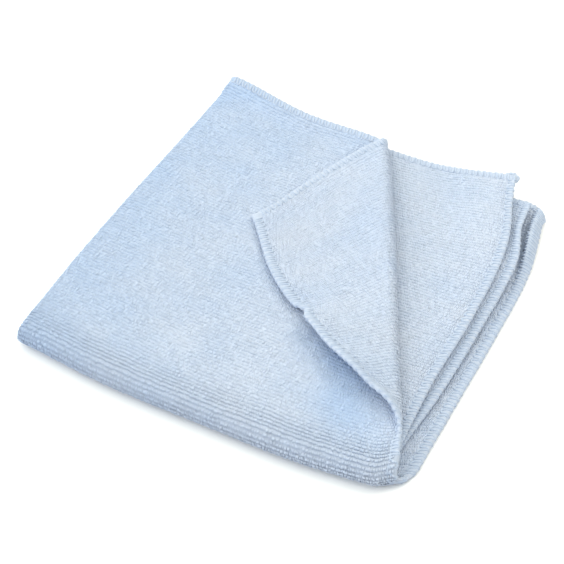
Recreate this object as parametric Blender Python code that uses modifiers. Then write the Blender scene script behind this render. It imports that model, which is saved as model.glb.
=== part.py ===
"""A square microfibre cloth folded in four, with the top layer's corner turned back.

The flat cloth is a grid in its own coordinates (u, v), with both fold lines through its middle. It is folded
once about u = 0, which becomes the left side, and then about v = 0, which becomes the front. Seen from above,
x runs to the right and y to the back, and the four quarters of the cloth become four layers:

    top      u > 0, v > 0        second   u < 0, v > 0
    bottom   u > 0, v < 0        third    u < 0, v < 0

All sizes here are in millimetres and the mesh is in metres. The origin lies under the middle of the folded
cloth, on the surface it rests on.
"""

import math
from collections import namedtuple

import bmesh
import bpy
from mathutils import Vector

MM = 0.001

# The cloth
SIDE = 300.0
HALF = SIDE / 2
SHEET = 1.8
LAYER_GAP = 0.5
PITCH = SHEET + LAYER_GAP
FABRIC_COLOUR = (0.60, 0.72, 0.87, 1.0)
FABRIC_ROUGHNESS = 0.95

# The two folds: a tight round one at the left, and at the front a long oval that is deeper in its outer layer
# than in its inner one. Outward is how far a layer lies outside the middle of the two that fold together.
LEFT_RADIUS = PITCH / 2
LEFT_ARC = LEFT_RADIUS * math.pi / 2
FRONT_RISE = PITCH
FRONT_OUTER_DEPTH = 5.6
FRONT_INNER_DEPTH = LEFT_RADIUS
FRONT_DEPTH = (FRONT_OUTER_DEPTH + FRONT_INNER_DEPTH) / 2
FRONT_DEPTH_GAIN = (FRONT_OUTER_DEPTH - FRONT_INNER_DEPTH) / PITCH
FRONT_ARC = 5.0
STACK_MIDDLE = SHEET / 2 + FRONT_RISE + LEFT_RADIUS
TOP_MIDDLE = STACK_MIDDLE + FRONT_RISE + LEFT_RADIUS

# The folded cloth's own square: how far the flat part of a layer reaches past each fold
WIDTH = HALF - LEFT_ARC
DEPTH = HALF - FRONT_ARC

# The middle of the folded cloth's outline, measured from the two folds
MIDDLE_X = 75.5
MIDDLE_Y = 73.8

# How far each layer's raw edges lie outside that square. A right edge is read from the front fold to the back
# corner, and a back edge from the left fold to the same corner.
Edge = namedtuple("Edge", "fold quarter middle far_quarter corner")
RIGHT_EDGE = {
    "top": Edge(1.0, 0.3, 3.3, 5.1, 0.3),
    "second": Edge(-7.0, -7.4, -5.6, -6.6, -16.2),
    "third": Edge(-7.0, -3.5, -1.6, -1.0, -6.8),
    "bottom": Edge(1.0, 2.3, 3.9, 4.4, -0.4),
}
BACK_EDGE = {
    "top": Edge(12.6, 5.2, 3.8, -3.7, -15.9),
    "second": Edge(12.6, 5.2, 2.7, 2.9, 6.1),
    "third": Edge(-5.0, -4.0, -3.0, -2.0, -2.0),
    "bottom": Edge(-5.0, -4.0, -2.5, -0.5, 2.2),
}

# How far each fold lies from its own straight line: the two left folds from front to back, and the front
# fold's outer and inner layer from left to right. The front fold's bulge fades over the layers behind it, and
# its outer layer turns in at the right-hand end.
LEFT_FOLD = {
    "top": Edge(0.8, -0.1, 0.1, 1.1, 1.7),
    "second": Edge(0.8, -0.1, 0.1, 1.1, 1.7),
    "third": Edge(0.8, 0.0, 0.0, 0.6, 1.0),
    "bottom": Edge(0.8, 0.0, 0.0, 0.6, 1.0),
}
OUTER_FRONT = Edge(0.1, -3.0, -3.3, -2.9, 0.2)
INNER_FRONT = Edge(0.3, 0.2, 1.0, 3.0, 8.0)
FRONT_FADE = 45.0
FRONT_CORNER_IN = 4.6
FRONT_CORNER_LENGTH = 5.0

# How far those edges stand up from the layer below, and how wide a strip lifts with them
RIGHT_LIFT = {
    "top": Edge(0.0, 0.5, 1.0, 2.8, 3.2),
    "second": Edge(0.0, 0.5, 1.0, 2.8, 3.2),
    "third": Edge(0.0, 0.3, 0.6, 2.2, 1.4),
    "bottom": Edge(0.0, 0.0, 0.0, 0.0, 1.0),
}
BACK_LIFT = {
    "top": Edge(2.6, 1.4, 0.4, 0.0, 0.0),
    "second": Edge(2.6, 0.8, 0.2, 0.0, 0.0),
    "third": Edge(0.0, 0.0, 0.0, 0.0, 0.0),
    "bottom": Edge(0.0, 0.0, 0.0, 0.0, 0.0),
}
RIGHT_LIFT_WIDTH = 22.0
BACK_LIFT_WIDTH = 12.0

# Soft waves over the cloth, full height in the top layer and none in the bottom one
Wave = namedtuple("Wave", "height across_x across_y phase")
WAVES = (
    Wave(0.45, 71.0, 118.0, 0.6),
    Wave(0.30, -46.0, 57.0, 2.1),
    Wave(0.18, 31.0, 39.0, 4.0),
)
WAVE_SHARE = {"top": 1.0, "second": 0.66, "third": 0.33, "bottom": 0.0}

# The crease that the top layer's corner is turned back over, from the back edge to the right edge. The roll
# has its own radius along the crease, and the turned corner stays open by a small angle near the front.
CREASE_START = (73.6, 149.8)
CREASE_END = (138.3, 11.5)
Roll = namedtuple("Roll", "at radius open")
ROLLS = (
    Roll(0.00, 1.40, 0.00),
    Roll(0.20, 2.30, 0.00),
    Roll(0.45, 2.40, 0.00),
    Roll(0.62, 2.00, 0.02),
    Roll(0.75, 1.70, 0.18),
    Roll(0.88, 1.60, 0.40),
    Roll(0.96, 1.70, 0.90),
    Roll(1.01, 1.70, 2.20),
    Roll(1.06, 1.70, 3.14),
)
FLAP_REST = PITCH + 0.2
FLAP_SETTLE = 15.0

# Where something draws the outer layer's right edge in, read along v: the crease's end, and a nick further on.
# What reaches the front fold fades on its way round to the underside.
Pull = namedtuple("Pull", "at inward length reach")
PULLS = (Pull(17.4, 8.6, 21.4, 26.0), Pull(82.9, 2.4, 3.0, 9.0))
PULL_FADE = 4.0

# The bottom layer's back corner is worn round
ROUND_INWARD = 5.0
ROUND_LENGTH = 4.0
ROUND_REACH = 12.0

# Grid lines of the flat cloth: cells across a fold and across the plain part beside it, and lines this far in
# from the raw edge. More lines are cut along the crease, from just before its roll to just past it.
PLAIN_CELLS = 16
FOLD_CELLS = 8
HEM_LINES = (7.0, 3.4, 1.4)
FIRST_CUT = -1.2
LAST_CUT = 7.2
CUT_STEP = 0.84
CUT_SNAP = 0.2


def through(values, t):
    """A smooth curve through equally spaced values, read at t from 0 to 1."""
    spans = len(values) - 1
    t = min(max(t, 0.0), 1.0) * spans
    i = min(int(t), spans - 1)
    t -= i
    before = values[max(i - 1, 0)]
    start, end = values[i], values[i + 1]
    after = values[min(i + 2, spans)]
    slope_in = (end - before) / 2
    slope_out = (after - start) / 2
    return (
        start * (2 * t**3 - 3 * t**2 + 1)
        + slope_in * (t**3 - 2 * t**2 + t)
        + end * (3 * t**2 - 2 * t**3)
        + slope_out * (t**3 - t**2)
    )


def between(rows, t):
    """The radius and the opening of the roll at t along the crease."""
    t = min(max(t, rows[0].at), rows[-1].at)
    for low, high in zip(rows, rows[1:]):
        if t <= high.at:
            break
    share = (t - low.at) / (high.at - low.at)
    share = share * share * (3 - 2 * share)
    radius = low.radius + (high.radius - low.radius) * share
    opening = low.open + (high.open - low.open) * share
    return radius, opening


def layer_of(u, v):
    """The layer that the point (u, v) of the flat cloth belongs to."""
    if v >= 0:
        return "top" if u >= 0 else "second"
    return "bottom" if u >= 0 else "third"


def plan_of(layer, x, y, v, outward):
    """Where a point of a true square layer lies once its folds and raw edges are where they really are."""
    a = min(max(x / WIDTH, 0.0), 1.0)
    b = min(max(y / DEPTH, 0.0), 1.0)
    shift_x = through(RIGHT_EDGE[layer], b) * a * a + through(LEFT_FOLD[layer], b) * (1 - a) ** 2
    shift_y = through(BACK_EDGE[layer], a) * b * b
    outer = (1 + outward / LEFT_RADIUS) / 2
    bulge = outer * through(OUTER_FRONT, a) + (1 - outer) * through(INNER_FRONT, a)
    bulge += outer * FRONT_CORNER_IN * math.exp(-(((WIDTH - x) / FRONT_CORNER_LENGTH) ** 2))
    shift_y += bulge * math.exp(-max(y, 0.0) / FRONT_FADE)
    if layer in ("top", "bottom"):
        for pull in PULLS:
            near = math.exp(-(((v - pull.at) / pull.length) ** 2) - (min(v, 0.0) / PULL_FADE) ** 2)
            shift_x -= pull.inward * near * math.exp(-((WIDTH - x) / pull.reach))
    if layer == "bottom":
        near = math.exp(-(((WIDTH - x) / ROUND_LENGTH) ** 2))
        shift_y -= ROUND_INWARD * near * math.exp(-((DEPTH - y) / ROUND_REACH))
    return x + shift_x, y + shift_y


def lift_of(layer, x, y):
    """How far a layer stands above its place in a flat stack."""
    a = min(max(x / WIDTH, 0.0), 1.0)
    b = min(max(y / DEPTH, 0.0), 1.0)
    from_right = max(WIDTH - x, 0.0) / RIGHT_LIFT_WIDTH
    from_back = max(DEPTH - y, 0.0) / BACK_LIFT_WIDTH
    lift = max(through(RIGHT_LIFT[layer], b), 0.0) * math.exp(-from_right * from_right)
    lift += max(through(BACK_LIFT[layer], a), 0.0) * math.exp(-from_back * from_back)
    for wave in WAVES:
        angle = 2 * math.pi * (x / wave.across_x + y / wave.across_y) + wave.phase
        fade = a * b * (2 - a) * (2 - b)
        lift += wave.height * WAVE_SHARE[layer] * fade * (1 + math.sin(angle)) / 2
    return lift


def crease_frame():
    """The crease's length, its direction and the direction across it, towards the corner."""
    run_x = CREASE_END[0] - CREASE_START[0]
    run_y = CREASE_END[1] - CREASE_START[1]
    length = math.hypot(run_x, run_y)
    return length, (run_x / length, run_y / length), (-run_y / length, run_x / length)


def turned_back(x, y, z):
    """Where a point of the top layer lies once the corner past the crease is turned back."""
    length, along, across = crease_frame()
    from_x, from_y = x - CREASE_START[0], y - CREASE_START[1]
    past = from_x * across[0] + from_y * across[1]
    if past <= 0:
        return x, y, z
    radius, opening = between(ROLLS, (from_x * along[0] + from_y * along[1]) / length)
    closing = math.pi - opening
    settle = (2 * radius - FLAP_REST) * max(math.cos(opening), 0.0)
    turn = min(past / radius, closing + settle / FLAP_SETTLE)
    straight = past - turn * radius
    out = radius * math.sin(turn) + straight * math.cos(closing)
    rise = radius * (1 - math.cos(turn)) + straight * math.sin(closing)
    rise -= settle * (1 - math.exp(-straight / FLAP_SETTLE))
    x += (out - past) * across[0]
    y += (out - past) * across[1]
    below = TOP_MIDDLE + lift_of("top", x, y)
    return x, y, z + (below - z) * closing / math.pi + rise


def folded(u, v):
    """Where the point (u, v) of the flat cloth's middle surface lies once it is folded in four."""
    layer = layer_of(u, v)
    if abs(u) < LEFT_ARC:
        x = -LEFT_RADIUS * math.cos(u / LEFT_RADIUS)
        outward = LEFT_RADIUS * math.sin(u / LEFT_RADIUS)
    else:
        x = abs(u) - LEFT_ARC
        outward = math.copysign(LEFT_RADIUS, u)
    depth = FRONT_DEPTH + FRONT_DEPTH_GAIN * outward
    rise = FRONT_RISE + outward
    if abs(v) < FRONT_ARC:
        angle = v / FRONT_ARC * math.pi / 2
        y = -depth * math.cos(angle)
        z = rise * math.sin(angle)
    else:
        y = abs(v) - FRONT_ARC
        z = math.copysign(rise, v)
    z += STACK_MIDDLE + lift_of(layer, x, y)
    x, y = plan_of(layer, x, y, v, outward)
    return x, y, z


def stations(arc):
    """The flat cloth's grid lines in one direction: close together in the fold and the hem, even elsewhere."""
    step = (HALF - HEM_LINES[0] - arc) / PLAIN_CELLS
    outer = [arc + step * i for i in range(1, PLAIN_CELLS)]
    outer += [HALF - line for line in HEM_LINES] + [HALF]
    inner = [arc * (2 * i / FOLD_CELLS - 1) for i in range(FOLD_CELLS + 1)]
    return [-s for s in reversed(outer)] + inner + outer


def flat_cloth(bm):
    """The flat cloth: a grid whose lines are moved to their stations."""
    lines_u, lines_v = stations(LEFT_ARC), stations(FRONT_ARC)
    cells = len(lines_u) - 1
    bmesh.ops.create_grid(bm, x_segments=cells, y_segments=cells, size=HALF)
    for vert in bm.verts:
        i = round((vert.co.x + HALF) / SIDE * cells)
        j = round((vert.co.y + HALF) / SIDE * cells)
        vert.co = (lines_u[i], lines_v[j], 0.0)


def cut_for_the_crease(bm, faces):
    """Cuts these faces along the crease's roll, and gives back all the geometry that they then hold."""
    across = Vector((*crease_frame()[2], 0.0))
    edges = dict.fromkeys(edge for face in faces for edge in face.edges)
    verts = dict.fromkeys(vert for face in faces for vert in face.verts)
    geometry = [*verts, *edges, *faces]
    for i in range(round((LAST_CUT - FIRST_CUT) / CUT_STEP) + 1):
        cut = bmesh.ops.bisect_plane(
            bm,
            geom=geometry,
            plane_co=Vector((*CREASE_START, 0.0)) + across * (FIRST_CUT + CUT_STEP * i),
            plane_no=across,
            dist=CUT_SNAP,
            use_snap_center=True,
        )
        geometry = cut["geom"]
    return geometry


def folded_cloth():
    """The mesh of the cloth's middle surface, folded in four and with its corner turned back."""
    bm = bmesh.new()
    flat_cloth(bm)
    top = [f for f in bm.faces if all(v.co.x > LEFT_ARC and v.co.y >= 0.0 for v in f.verts)]
    for vert in bm.verts:
        vert.co = folded(vert.co.x, vert.co.y)
    geometry = cut_for_the_crease(bm, top)
    for vert in geometry:
        if isinstance(vert, bmesh.types.BMVert):
            vert.co = turned_back(*vert.co)
    for vert in bm.verts:
        vert.co = (vert.co - Vector((MIDDLE_X, MIDDLE_Y, 0.0))) * MM
    mesh = bpy.data.meshes.new("cloth")
    bm.to_mesh(mesh)
    bm.free()
    return mesh


def fabric():
    """The cloth's own plain colour, with no shine."""
    material = bpy.data.materials.new("fabric")
    material.use_nodes = True
    shader = material.node_tree.nodes["Principled BSDF"]
    shader.inputs["Base Color"].default_value = FABRIC_COLOUR
    shader.inputs["Roughness"].default_value = FABRIC_ROUGHNESS
    return material


def main():
    for obj in list(bpy.data.objects):
        bpy.data.objects.remove(obj)
    mesh = folded_cloth()
    mesh.materials.append(fabric())
    mesh.shade_smooth()
    cloth = bpy.data.objects.new("cloth", mesh)
    home = bpy.data.collections.new("microfibre_cloth")
    bpy.context.scene.collection.children.link(home)
    home.objects.link(cloth)
    thick = cloth.modifiers.new("Thickness", "SOLIDIFY")
    thick.thickness = SHEET * MM
    thick.offset = 0.0


main()
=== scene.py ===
"""The finished look of the folded microfibre cloth: its ribbed terry sheet and its overlocked raw edges.

The folds are the ones of the part's own source, in its own sizes, and everything here is drawn on them.
Sizes are in millimetres, and meshes in metres. The flat cloth is read as (u, v), with both fold lines
through its middle: top u > 0, v > 0; second u < 0, v > 0; third u < 0, v < 0; bottom u > 0, v < 0. Its front
face (side 0) is the outer one of the first fold, and its back face is side 1.
"""

import math
from collections import namedtuple

import bpy
import numpy as np
from mathutils import Matrix, Vector


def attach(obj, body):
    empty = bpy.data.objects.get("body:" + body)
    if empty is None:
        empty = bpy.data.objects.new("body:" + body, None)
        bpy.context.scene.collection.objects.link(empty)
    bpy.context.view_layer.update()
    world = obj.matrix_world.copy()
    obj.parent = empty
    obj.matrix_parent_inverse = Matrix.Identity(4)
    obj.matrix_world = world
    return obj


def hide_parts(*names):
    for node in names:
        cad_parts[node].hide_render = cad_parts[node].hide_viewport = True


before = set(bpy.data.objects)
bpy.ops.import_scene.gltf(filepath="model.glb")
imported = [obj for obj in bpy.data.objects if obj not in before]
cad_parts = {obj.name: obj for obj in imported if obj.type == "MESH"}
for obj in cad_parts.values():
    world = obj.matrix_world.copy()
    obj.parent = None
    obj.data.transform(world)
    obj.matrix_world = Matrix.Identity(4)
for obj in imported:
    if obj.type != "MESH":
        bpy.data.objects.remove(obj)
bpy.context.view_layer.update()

MM = 0.001

# ---------------------------------------------------------------- the folded cloth, as in the part's source
SIDE = 300.0
HALF = SIDE / 2
SHEET = 1.8
LAYER_GAP = 0.5
PITCH = SHEET + LAYER_GAP

LEFT_RADIUS = PITCH / 2
LEFT_ARC = LEFT_RADIUS * math.pi / 2
FRONT_RISE = PITCH
FRONT_OUTER_DEPTH = 5.6
FRONT_INNER_DEPTH = LEFT_RADIUS
FRONT_DEPTH = (FRONT_OUTER_DEPTH + FRONT_INNER_DEPTH) / 2
FRONT_DEPTH_GAIN = (FRONT_OUTER_DEPTH - FRONT_INNER_DEPTH) / PITCH
FRONT_ARC = 5.0
STACK_MIDDLE = SHEET / 2 + FRONT_RISE + LEFT_RADIUS
TOP_MIDDLE = STACK_MIDDLE + FRONT_RISE + LEFT_RADIUS
WIDTH = HALF - LEFT_ARC
DEPTH = HALF - FRONT_ARC
MIDDLE_X = 75.5
MIDDLE_Y = 73.8

# How far each layer's raw edges and folds lie outside that square, and how far the edges stand up
Edge = namedtuple("Edge", "fold quarter middle far_quarter corner")
RIGHT_EDGE = {
    "top": Edge(1.0, 0.3, 3.3, 5.1, 0.3),
    "second": Edge(-7.0, -7.4, -5.6, -6.6, -16.2),
    "third": Edge(-7.0, -3.5, -1.6, -1.0, -6.8),
    "bottom": Edge(1.0, 2.3, 3.9, 4.4, -0.4),
}
BACK_EDGE = {
    "top": Edge(12.6, 5.2, 3.8, -3.7, -15.9),
    "second": Edge(12.6, 5.2, 2.7, 2.9, 6.1),
    "third": Edge(-5.0, -4.0, -3.0, -2.0, -2.0),
    "bottom": Edge(-5.0, -4.0, -2.5, -0.5, 2.2),
}
LEFT_FOLD = {
    "top": Edge(0.8, -0.1, 0.1, 1.1, 1.7),
    "second": Edge(0.8, -0.1, 0.1, 1.1, 1.7),
    "third": Edge(0.8, 0.0, 0.0, 0.6, 1.0),
    "bottom": Edge(0.8, 0.0, 0.0, 0.6, 1.0),
}
OUTER_FRONT = Edge(0.1, -3.0, -3.3, -2.9, 0.2)
INNER_FRONT = Edge(0.3, 0.2, 1.0, 3.0, 8.0)
FRONT_FADE = 45.0
FRONT_CORNER_IN = 4.6
FRONT_CORNER_LENGTH = 5.0
RIGHT_LIFT = {
    "top": Edge(0.0, 0.5, 1.0, 2.8, 3.2),
    "second": Edge(0.0, 0.5, 1.0, 2.8, 3.2),
    "third": Edge(0.0, 0.3, 0.6, 2.2, 1.4),
    "bottom": Edge(0.0, 0.0, 0.0, 0.0, 1.0),
}
BACK_LIFT = {
    "top": Edge(2.6, 1.4, 0.4, 0.0, 0.0),
    "second": Edge(2.6, 0.8, 0.2, 0.0, 0.0),
    "third": Edge(0.0, 0.0, 0.0, 0.0, 0.0),
    "bottom": Edge(0.0, 0.0, 0.0, 0.0, 0.0),
}
RIGHT_LIFT_WIDTH = 22.0
BACK_LIFT_WIDTH = 12.0

# Finer than the solid: the right hems of the lower two layers curl up, with a dark slit between them
Curl = namedtuple("Curl", "rise at length ridge width out forward inward")
CURL = {
    "third": Curl(2.4, 0.88, 0.14, 0.0, 4.5, 0.43, -0.86, 1.9),
    "bottom": Curl(4.7, 0.87, 0.12, 2.5, 1.5, -0.24, -0.4, 0.0),
}
INWARD_LENGTH = 0.08

# Also finer than the solid: the layers sink a little in front of their back hems, the top one most of all
TROUGH = Edge(1.2, 1.1, 0.7, 0.0, 0.0)
TROUGH_AT = 10.0
TROUGH_WIDTH = 6.0
TROUGH_SHARE = {"top": 1.0, "second": 0.64, "third": 0.32, "bottom": 0.0}
TROUGH_AT_FOLD = {"top": 0.82, "second": 0.82, "third": 0.16, "bottom": 0.16}
TROUGH_FROM_FOLD = 16.0

Wave = namedtuple("Wave", "height across_x across_y phase")
WAVES = (
    Wave(0.45, 71.0, 118.0, 0.6),
    Wave(0.30, -46.0, 57.0, 2.1),
    Wave(0.18, 31.0, 39.0, 4.0),
)
WAVE_SHARE = {"top": 1.0, "second": 0.66, "third": 0.33, "bottom": 0.0}

# The crease that the top layer's corner is turned back over
CREASE_START = (73.6, 149.8)
CREASE_END = (138.3, 11.5)
Roll = namedtuple("Roll", "at radius open")
ROLLS = (
    Roll(0.00, 1.40, 0.00),
    Roll(0.20, 2.30, 0.00),
    Roll(0.45, 2.40, 0.00),
    Roll(0.62, 2.00, 0.02),
    Roll(0.75, 1.70, 0.18),
    Roll(0.88, 1.60, 0.40),
    Roll(0.96, 1.70, 0.90),
    Roll(1.01, 1.70, 2.20),
    Roll(1.06, 1.70, 3.14),
)
FLAP_REST = PITCH + 0.2
FLAP_SETTLE = 15.0

# Where the top layer's right raw edge is pulled in, less and less so round the front fold, and how the
# bottom layer's back right corner is rounded
Pull = namedtuple("Pull", "at inward length reach")
PULLS = (Pull(17.4, 8.6, 21.4, 26.0), Pull(82.9, 2.4, 3.0, 9.0))
PULL_FADE = 4.0
ROUND_INWARD = 5.0
ROUND_LENGTH = 4.0
ROUND_REACH = 12.0

# ---------------------------------------------------------------- what shows in the photo
# It has pile, and a finer grid. The front face shows on the top layer, up to a little past its folds and its
# crease, but not under the turned-back corner. The back face shows on that corner and, on the second layer,
# beside it. The third layer's front face and the bottom one's back face show along their hems.
SHOWN_PAST_LEFT = 4.0
SHOWN_PAST_FRONT = 7.0
SHOWN_PAST_CREASE = 8.0
SHOWN_ON_CORNER = 1.0
SHOWN_BESIDE_CORNER = 6.0
SHOWN_LOWER_HEMS = 11.0
COVERED_FROM_CREASE = 1.0
COVERED_TO = 0.6
COVERED_FROM_RIGHT = 10.0
COVERED_FROM_BACK = 24.0

# ---------------------------------------------------------------- the fabric's own relief
# The ribs wander sideways a little, less so by the front fold, and the cloth's faces are uneven
RIB = 1.35
Ripple = namedtuple("Ripple", "height across_u across_v phase")
WANDER = (Ripple(0.30, 61.0, 143.0, 0.3), Ripple(0.16, 27.0, -83.0, 1.9), Ripple(0.08, 11.3, 47.0, 4.4))
WANDER_FROM_FRONT = 12.0
WANDER_LEAST = 0.15
UNEVEN = (Ripple(0.045, 7.1, 5.3, 0.0), Ripple(0.040, -4.3, 9.1, 2.2), Ripple(0.030, 12.7, -3.7, 5.1))
UNEVEN_FROM_EDGE = 3.0
UNEVEN_MOST = 0.6
UNEVEN_FROM_LEFT = 6.0

# The pile stands on a thinner ground: one small loop after another along each rib, bent over the rib from
# side to side. A bend's height is over the ground's face. The ground thins over PILE_RAMP inside the needle
# line. The pile begins PILE_FROM in from a raw edge, and nearer to it by PILE_NEARER on the front roll.
PILE = 0.14
PILE_RAMP = 0.8
PILE_FROM = 3.7
PILE_NEARER = 2.8
LOOP_STEP = 0.64
LOOP_SPREAD = 1.60
LOOPS_EACH = 12000
PILE_SEED = 23
Bend = namedtuple("Bend", "across height radius")
LOOP = (
    Bend(-0.84, -0.12, 0.00),
    Bend(-0.32, 0.06, 0.19),
    Bend(0.32, 0.06, 0.19),
    Bend(0.84, -0.12, 0.00),
)
# How much the loops differ, each a standard deviation: their places along and across the rib, their height
# and their lean in millimetres, their slant in radians, and their size, thickness and shade as shares
LOOP_ALONG = 0.08
LOOP_ACROSS = 0.05
LOOP_HEIGHT = 0.045
LOOP_LEAN = 0.10
LOOP_SLANT = 0.17
LOOP_SIZE = 0.13
LOOP_THICKNESS = 0.08
LOOP_SHADE = 0.26

# On the outer side of a fold the cloth's face is longer than its flat length, so the pile is laid by its
# true length
ROLL_LENGTH = 7.2
FOLD_LENGTH = 3.2
# On the front roll the ribs stand apart, more so towards its right end, and the grooves between them are
# open and deep. Their loops are straighter, narrower and more uneven there.
OPEN_LEFT = 0.70
OPEN_MORE_RIGHT = 0.40
OPEN_PAST_LEFT = 3.0
OPEN_REACH = 5.5
OPEN_DEPTH = 0.24
OPEN_UNDER = 0.4
OPEN_SPREAD = 0.10
OPEN_NARROW = 0.18
OPEN_UNEVEN = 1.0
OPEN_STRAIGHT = 0.75

# The overlocked hem: the sheet is drawn thin along the needle line and full again towards its rounded edge
Hem = namedtuple("Hem", "inside share")
HEM_SHAPE = (
    Hem(0.00, 0.10),
    Hem(0.12, 0.38),
    Hem(0.40, 0.62),
    Hem(0.90, 0.80),
    Hem(1.60, 0.83),
    Hem(2.50, 0.70),
    Hem(3.30, 0.42),
    Hem(3.90, 0.76),
    Hem(4.70, 0.96),
    Hem(6.00, 1.00),
)
NEEDLE_LINE = 3.3
HEM_END = NEEDLE_LINE + 0.6
STITCH = 2.9
SCALLOP = 0.10
SCALLOP_UNEVEN = 0.35
SCALLOP_DRIFT = 3.7
SCALLOP_REACH = 0.9

# A looper thread on one face of the hem, from the needle line out to the edge and back, over one stitch, and
# the needle's own stitch
Turn = namedtuple("Turn", "along inside height")
LOOPER = (
    Turn(0.05, 3.25, 0.50),
    Turn(0.08, 2.60, 0.60),
    Turn(0.10, 1.70, 0.62),
    Turn(0.13, 0.90, 0.54),
    Turn(0.18, 0.42, 0.36),
    Turn(0.31, 0.24, 0.10),
    Turn(0.44, 0.42, 0.36),
    Turn(0.49, 0.90, 0.54),
    Turn(0.52, 1.70, 0.62),
    Turn(0.55, 2.60, 0.60),
    Turn(0.58, 3.25, 0.50),
    Turn(0.82, 3.45, 0.44),
)
NEEDLE = (
    Turn(0.02, 3.35, 0.34),
    Turn(0.16, 3.40, 0.52),
    Turn(0.50, 3.42, 0.56),
    Turn(0.82, 3.40, 0.52),
    Turn(0.98, 3.35, 0.34),
)
THREAD_RADIUS = 0.45
THREAD_SIDES = 6
THREAD_SLANT = 0.25
THREAD_JITTER = 0.12
JITTER_INWARD = 0.4
THREAD_UNEVEN = 0.07
THREAD_FROM_CORNER = 1.2
THREAD_SEED = 11
NEEDLE_SHARE = 0.5
NEEDLE_SIDES = 5
OFF_AXIS = (0.31, 0.52, 0.80)

# Short ends of the overlock chain, folded back on the two corners that show, and how lumpy they are
Tail = namedtuple("Tail", "edge along inside height radius")
TAILS = (
    (
        Tail("back", -142.4, 0.50, 0.50, 0.45),
        Tail("back", -144.0, -0.50, 0.90, 0.80),
        Tail("back", -145.6, -1.30, 1.10, 1.00),
        Tail("back", -147.2, -1.70, 1.20, 1.10),
        Tail("back", -148.8, -1.40, 1.10, 1.05),
        Tail("left", 149.6, -0.30, 0.90, 0.95),
        Tail("left", 147.8, 0.20, 0.60, 0.70),
        Tail("left", 146.0, 0.90, 0.30, 0.45),
    ),
    (
        Tail("front", 147.4, 1.60, 0.50, 0.40),
        Tail("front", 148.4, 0.90, 0.60, 0.60),
        Tail("right", -148.8, 0.60, 0.60, 0.74),
        Tail("right", -147.2, 0.10, 0.50, 0.84),
        Tail("right", -145.6, 0.00, 0.30, 0.84),
        Tail("right", -144.0, 0.20, 0.20, 0.70),
        Tail("right", -142.6, 0.80, 0.20, 0.42),
    ),
)
TAIL_STEPS = 6
TAIL_SIDES = 10
TAIL_LUMP = 0.16
TAIL_LUMPS = 40
TAIL_UNEVEN = 0.05

# The sheet's grid: stretches of cells in each direction, each cell cut finer where it shows, and lines at
# these distances in from the raw edges
Span = namedtuple("Span", "start end cells parts")
SPANS_U = (
    Span(-145.6, -70.0, 25, 2),
    Span(-70.0, -3.0, 14, 2),
    Span(-3.0, 3.0, 12, 1),
    Span(3.0, 145.6, 46, 2),
)
SPANS_V = (
    Span(-145.6, -8.0, 43, 2),
    Span(-8.0, 8.0, 16, 1),
    Span(8.0, 145.6, 43, 2),
)
EDGE_LINES = (0.0, 0.12, 0.40, 0.90, 1.60, 2.50, 3.30, 3.90)

# ---------------------------------------------------------------- colour
BLUER = (0.446, 0.562, 0.752, 1.0)
PINKER = (0.578, 0.634, 0.744, 1.0)
# How pink the dye is: on the cloth's front, less so towards its fold and its raw edge, and on its back.
# Beside its turned-back corner it is painted bluer still, as painted shade.
FRONT_PINK = 0.80
BACK_PINK = 0.76
EDGE_BLUE = 0.62
BLUE_FROM_FOLD = 38.0
BLUE_FROM_EDGE = 14.0
BLUE_BY_EDGE = 0.7
CORNER_SHADE_BLUE = 1.2
BLUE_MOST = 1.6
# Painted shade by the turned-back corner, a bluer band where the corner shades the cloth: the shares of the
# crease's length between which it begins, how far before the crease it lies, how wide it is, and how far
# from the front fold it is at its full blue
CORNER_SHADE_SHARES = (0.3, 0.6)
CORNER_SHADE_BEFORE = 15.0
CORNER_SHADE_WIDTH = 12.0
CORNER_SHADE_FROM_FRONT = 16.0
BLOTCH = 0.90
BLOTCH_SCALE = 0.040
BLOTCH_STRETCH = 1.5
GRAIN_SCALE = 0.8
FACES_APART = 30.0
FIBRE_SCALE = 2500.0
FIBRE_HEIGHT = 0.15
TWIST_SCALE = 900.0

# Painted shade: how dark the cloth is painted between its loops' tops (1) and its deepest grooves (-1),
# where it is down to DEEP_SHADE. The ground is painted between the two, darker in the hem, and darkest
# under the front roll. A loop is painted darker on its flanks and its underside than on its top, and under
# the front roll all of it is.
DEEP_SHADE = 0.66
GROUND_SHADE_LEVEL = 0.5
HEM_SHADE_DEEPER = 0.5
OPEN_GROOVE_SHADE = -0.6
OPEN_SHADE_LEAST = 0.30
LOOP_RING_SHADES = (1.0, 0.9, 0.6, 0.9)
UNDER_SHADE = 0.5
# Between which values of v the front roll's underside begins, for its grooves' depth and for the painted
# shade of its ground and its loops
UNDER_GROOVES = (2.0, -2.0)
UNDER_GROUND_SHADE = (3.0, -2.0)
UNDER_LOOP_SHADE = (1.0, -2.0)

THREAD_DEEP = (0.420, 0.500, 0.635, 1.0)
THREAD_PALE = (0.480, 0.548, 0.665, 1.0)

# ---------------------------------------------------------------- the studio
OVERHEAD = (1.36, 1.38, 1.24)
FROM_LEFT = (1.66, 1.64, 1.56)
FROM_FRONT = (0.30, 0.40, 0.62)
KEY = (1.0, 0.93, 0.83)
KEY_WATTS = 1.9
KEY_SIZE = 450.0
KEY_AT = (300.0, 400.0, 620.0)
CAMERA_AT = (142.3, -304.8, 345.0)
CAMERA_AZIMUTH = 26.53
CAMERA_ELEVATION = 46.2
CAMERA_LENS = 80.74
FLOOR_REACH = 3000.0
FLOOR_BELOW = 0.2


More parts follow.
